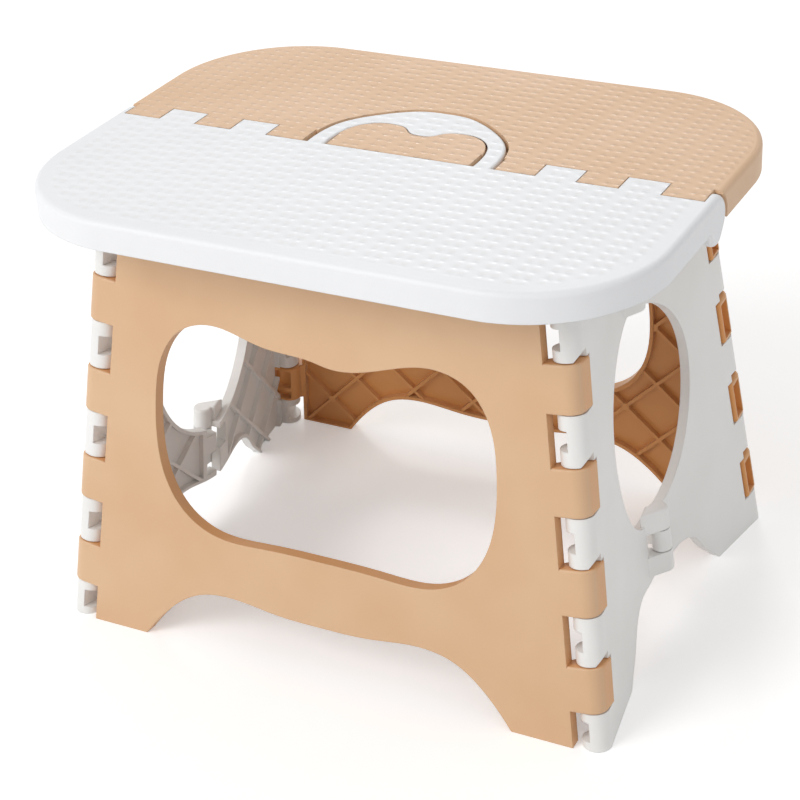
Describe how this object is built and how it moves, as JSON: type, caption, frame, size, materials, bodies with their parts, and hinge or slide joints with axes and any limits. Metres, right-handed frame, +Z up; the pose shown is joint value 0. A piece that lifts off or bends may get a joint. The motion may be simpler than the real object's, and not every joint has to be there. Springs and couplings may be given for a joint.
{
  "type": "folding step stool",
  "caption": "Low folding plastic step stool: a two-part seat with a carrying hoop, two leaning side panels and two end walls that fold inward in the middle.",
  "frame": {"origin": "on the floor below the middle of the seat", "axes": "+X along the seat's long side, +Y from the white seat half to the tan one, +Z up"},
  "size_m": [0.242, 0.183, 0.18],
  "materials": {
    "tan_plastic": "fine moulded texture",
    "white_plastic": "fine moulded texture",
    "axle_steel": "drawn wire"
  },
  "bodies": {
    "front_panel": {"front_panel": "tan_plastic", "front_axle": "axle_steel"},
    "seat_front": {"seat_front_half": "white_plastic", "centre_axle": "axle_steel"},
    "seat_rear": {"seat_rear_half": "tan_plastic"},
    "rear_panel": {"rear_panel": "tan_plastic", "rear_axle": "axle_steel"},
    "end_front_right": {"end_front_right": "white_plastic"},
    "end_front_left": {"end_front_left": "white_plastic"},
    "end_rear_right": {"end_rear_right": "white_plastic"},
    "end_rear_left": {"end_rear_left": "white_plastic"}
  },
  "joints": [
    {"name": "front_seat_hinge", "type": "hinge", "parent": "front_panel", "child": "seat_front", "pos_m": [0, -0.0594, 0.1681], "axis": [1, 0, 0], "range_deg": [0, 73.5]},
    {"name": "centre_hinge", "type": "hinge", "parent": "seat_front", "child": "seat_rear", "pos_m": [0, 0.003, 0.1665], "axis": [-1, 0, 0], "range_deg": [0, 156.1]},
    {"name": "rear_seat_hinge", "type": "hinge", "parent": "seat_rear", "child": "rear_panel", "pos_m": [0, 0.0654, 0.1681], "axis": [1, 0, 0], "range_deg": [0, 73.6]},
    {"name": "corner_front_right", "type": "hinge", "parent": "front_panel", "child": "end_front_right", "pos_m": [0.1082, -0.07805, -0.00075], "axis": [-0.1184, 0.1241, 0.9852], "range_deg": [0, 76.7]},
    {"name": "corner_front_left", "type": "hinge", "parent": "front_panel", "child": "end_front_left", "pos_m": [-0.1082, -0.07805, -0.00075], "axis": [-0.1184, -0.1241, -0.9852], "range_deg": [0, 76.7]},
    {"name": "corner_rear_right", "type": "hinge", "parent": "rear_panel", "child": "end_rear_right", "pos_m": [0.1082, 0.08405, -0.00075], "axis": [0.1184, 0.1241, -0.9852], "range_deg": [0, 76.7]},
    {"name": "corner_rear_left", "type": "hinge", "parent": "rear_panel", "child": "end_rear_left", "pos_m": [-0.1082, 0.08405, -0.00075], "axis": [0.1184, -0.1241, 0.9852], "range_deg": [0, 76.7]}
  ],
  "couplings": [
    {"joint": "centre_hinge", "follows": "front_seat_hinge", "ratio": 2.1219},
    {"joint": "rear_seat_hinge", "follows": "front_seat_hinge", "ratio": 1},
    {"joint": "corner_front_right", "follows": "front_seat_hinge", "ratio": 1.0424},
    {"joint": "corner_front_left", "follows": "front_seat_hinge", "ratio": 1.0424},
    {"joint": "corner_rear_right", "follows": "front_seat_hinge", "ratio": 1.0424},
    {"joint": "corner_rear_left", "follows": "front_seat_hinge", "ratio": 1.0424}
  ]
}
